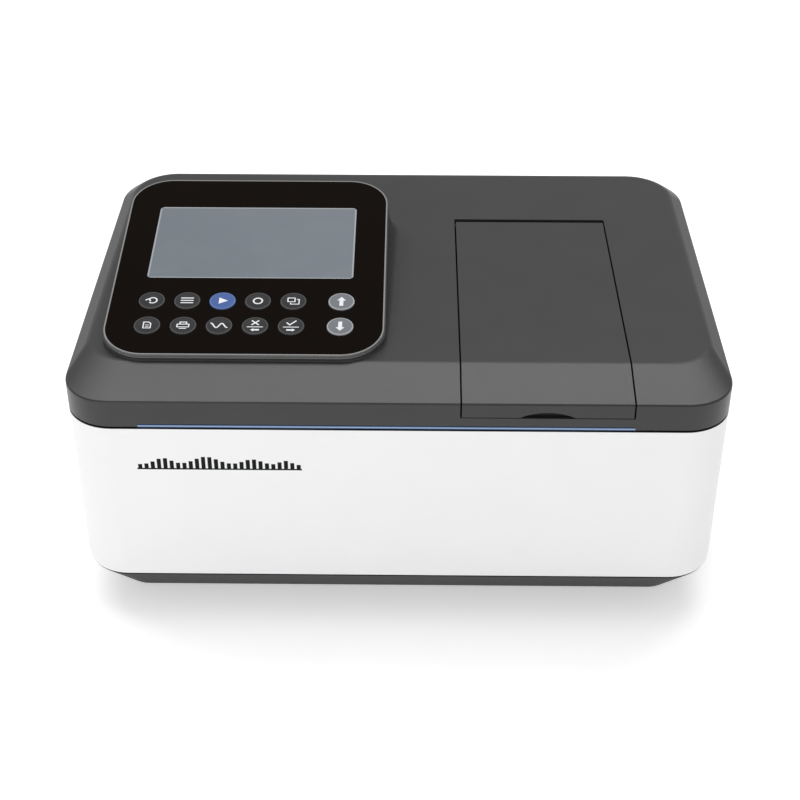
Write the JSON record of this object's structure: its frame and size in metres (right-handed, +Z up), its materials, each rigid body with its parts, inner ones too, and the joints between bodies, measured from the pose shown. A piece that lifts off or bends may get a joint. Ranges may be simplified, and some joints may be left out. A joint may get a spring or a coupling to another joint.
{
  "type": "ultraviolet-visible spectrophotometer",
  "caption": "Bench-top spectrophotometer with a tilted keypad panel, a rear-hinged sample lid over a sliding cell changer, and working optics inside.",
  "frame": {"origin": "on the bench, under the middle of the case", "axes": "+Z up, +X to the right of the user facing the front, +Y to the back"},
  "size_m": [0.46, 0.335, 0.2299],
  "materials": {
    "cover_plastic": "fine texture",
    "lid_plastic": "fine texture",
    "base_plastic": "fine texture",
    "white_paint": "satin powder coat",
    "rear_paint": "satin",
    "blue_accent": "gloss",
    "bezel_grey": "satin",
    "membrane_black": "gloss",
    "screen_glass": "satin",
    "key_dark": "satin",
    "key_blue": "satin",
    "key_grey": "satin",
    "black_plastic": "matte",
    "rocker_plastic": "gloss",
    "seal_rubber": "matte",
    "foot_rubber": "matte",
    "well_black": "black anodised",
    "bench_casting": "as cast",
    "bright_steel": "brushed",
    "gear_brass": "machined",
    "motor_steel": "satin",
    "optic_mirror": "polished",
    "optic_glass": "polished",
    "lamp_glass": "clear",
    "dark_metal": "black anodised",
    "board_green": "solder mask",
    "supply_metal": "plain"
  },
  "bodies": {
    "instrument": {"accent_strip": "blue_accent", "base_pan": "base_plastic", "beam_windows": "optic_glass", "curved_mirrors": "optic_mirror", "detector_housing": "well_black", "deuterium_lamp": "lamp_glass", "display_module": "screen_glass", "drive_motors": "motor_steel", "fan_frame": "black_plastic", "fold_mirror": "optic_mirror", "foot_screws": "bright_steel", "guide_rods": "bright_steel", "halogen_lamp": "lamp_glass", "housing_shell": "white_paint", "index_motors": "motor_steel", "keypad_board": "board_green", "lamp_house": "bright_steel", "lid_hinge_pin": "bright_steel", "main_board": "board_green", "mains_inlet": "black_plastic", "monochromator_box": "well_black", "monochromator_cover": "well_black", "optical_bench": "bench_casting", "panel_bezel": "bezel_grey", "panel_membrane": "membrane_black", "photodiode_board": "board_green", "power_supply": "supply_metal", "rear_panel": "rear_paint", "rear_screws": "bright_steel", "rubber_feet": "foot_rubber", "sample_well": "well_black", "slit_plates": "dark_metal", "top_cover": "cover_plastic", "usb_device_socket": "black_plastic", "usb_host_socket": "bright_steel", "well_seal": "seal_rubber"},
    "lid_set": {"lid": "lid_plastic", "lid_liner": "black_plastic"},
    "rocker": {"mains_rocker": "rocker_plastic"},
    "drawer": {"fuse_drawer": "black_plastic"},
    "fan": {"fan_rotor": "black_plastic"},
    "changer": {"cell_carriage": "black_plastic"},
    "changer_drive": {"carriage_pinion": "gear_brass"},
    "turntable": {"grating_turntable": "gear_brass", "grating": "optic_mirror"},
    "turntable_drive": {"grating_pinion": "gear_brass"},
    "mirror_arm": {"source_mirror": "optic_mirror"},
    "wheel": {"filter_wheel": "dark_metal"},
    "back_key_cap": {"back_key": "key_dark"},
    "menu_key_cap": {"menu_key": "key_dark"},
    "start_key_cap": {"start_key": "key_blue"},
    "zero_key_cap": {"zero_key": "key_dark"},
    "batch_key_cap": {"batch_key": "key_dark"},
    "up_key_cap": {"up_key": "key_grey"},
    "file_key_cap": {"file_key": "key_dark"},
    "print_key_cap": {"print_key": "key_dark"},
    "wave_key_cap": {"wave_key": "key_dark"},
    "left_key_cap": {"left_key": "key_dark"},
    "right_key_cap": {"right_key": "key_dark"},
    "down_key_cap": {"down_key": "key_grey"}
  },
  "joints": [
    {"name": "lid_hinge", "type": "hinge", "parent": "instrument", "child": "lid_set", "pos_m": [0.1014, 0.0725, 0.192], "axis": [-1, 0, 0], "range_deg": [0, 92]},
    {"name": "back_key_press", "type": "slide", "parent": "instrument", "child": "back_key_cap", "axis": [0, 0.1392, -0.9903], "range_m": [0, 0.0005], "stiffness_N_per_m": 600, "springref_m": -0.001},
    {"name": "menu_key_press", "type": "slide", "parent": "instrument", "child": "menu_key_cap", "axis": [0, 0.1392, -0.9903], "range_m": [0, 0.0005], "stiffness_N_per_m": 600, "springref_m": -0.001},
    {"name": "start_key_press", "type": "slide", "parent": "instrument", "child": "start_key_cap", "axis": [0, 0.1392, -0.9903], "range_m": [0, 0.0005], "stiffness_N_per_m": 600, "springref_m": -0.001},
    {"name": "zero_key_press", "type": "slide", "parent": "instrument", "child": "zero_key_cap", "axis": [0, 0.1392, -0.9903], "range_m": [0, 0.0005], "stiffness_N_per_m": 600, "springref_m": -0.001},
    {"name": "batch_key_press", "type": "slide", "parent": "instrument", "child": "batch_key_cap", "axis": [0, 0.1392, -0.9903], "range_m": [0, 0.0005], "stiffness_N_per_m": 600, "springref_m": -0.001},
    {"name": "up_key_press", "type": "slide", "parent": "instrument", "child": "up_key_cap", "axis": [0, 0.1392, -0.9903], "range_m": [0, 0.0005], "stiffness_N_per_m": 600, "springref_m": -0.001},
    {"name": "file_key_press", "type": "slide", "parent": "instrument", "child": "file_key_cap", "axis": [0, 0.1392, -0.9903], "range_m": [0, 0.0005], "stiffness_N_per_m": 600, "springref_m": -0.001},
    {"name": "print_key_press", "type": "slide", "parent": "instrument", "child": "print_key_cap", "axis": [0, 0.1392, -0.9903], "range_m": [0, 0.0005], "stiffness_N_per_m": 600, "springref_m": -0.001},
    {"name": "wave_key_press", "type": "slide", "parent": "instrument", "child": "wave_key_cap", "axis": [0, 0.1392, -0.9903], "range_m": [0, 0.0005], "stiffness_N_per_m": 600, "springref_m": -0.001},
    {"name": "left_key_press", "type": "slide", "parent": "instrument", "child": "left_key_cap", "axis": [0, 0.1392, -0.9903], "range_m": [0, 0.0005], "stiffness_N_per_m": 600, "springref_m": -0.001},
    {"name": "right_key_press", "type": "slide", "parent": "instrument", "child": "right_key_cap", "axis": [0, 0.1392, -0.9903], "range_m": [0, 0.0005], "stiffness_N_per_m": 600, "springref_m": -0.001},
    {"name": "down_key_press", "type": "slide", "parent": "instrument", "child": "down_key_cap", "axis": [0, 0.1392, -0.9903], "range_m": [0, 0.0005], "stiffness_N_per_m": 600, "springref_m": -0.001},
    {"name": "rocker_tilt", "type": "hinge", "parent": "instrument", "child": "rocker", "pos_m": [0.15, 0.1595, 0.1075], "axis": [1, 0, 0], "range_deg": [-22, 0]},
    {"name": "fuse_drawer_pull", "type": "slide", "parent": "instrument", "child": "drawer", "axis": [0, 1, 0], "range_m": [0, 0.018]},
    {"name": "fan_spin", "type": "hinge", "parent": "instrument", "child": "fan", "pos_m": [-0.132, 0.1554, 0.1], "axis": [0, 1, 0], "continuous": true},
    {"name": "changer_slide", "type": "slide", "parent": "instrument", "child": "changer", "axis": [0, 1, 0], "range_m": [-0.06, 0]},
    {"name": "changer_drive_spin", "type": "hinge", "parent": "instrument", "child": "changer_drive", "pos_m": [0.1385, -0.04, 0.07], "axis": [0, 0, 1], "range_deg": [0, 276]},
    {"name": "grating_turn", "type": "hinge", "parent": "instrument", "child": "turntable", "pos_m": [-0.015, -0.008, 0.08], "axis": [0, 0, 1], "range_deg": [-20, 20]},
    {"name": "turntable_drive_spin", "type": "hinge", "parent": "instrument", "child": "turntable_drive", "pos_m": [-0.06125, -0.008, 0.064], "axis": [0, 0, 1], "range_deg": [-129, 129]},
    {"name": "source_mirror_swing", "type": "hinge", "parent": "instrument", "child": "mirror_arm", "pos_m": [0.028, 0.089, 0.08], "axis": [0, 0, 1], "range_deg": [-75, 0]},
    {"name": "filter_wheel_turn", "type": "hinge", "parent": "instrument", "child": "wheel", "pos_m": [0.035, 0.0605, 0.11], "axis": [0, 1, 0], "continuous": true}
  ],
  "couplings": [
    {"joint": "changer_drive_spin", "follows": "changer_slide", "rad_per_m": -80},
    {"joint": "turntable_drive_spin", "follows": "grating_turn", "ratio": -6.4}
  ]
}
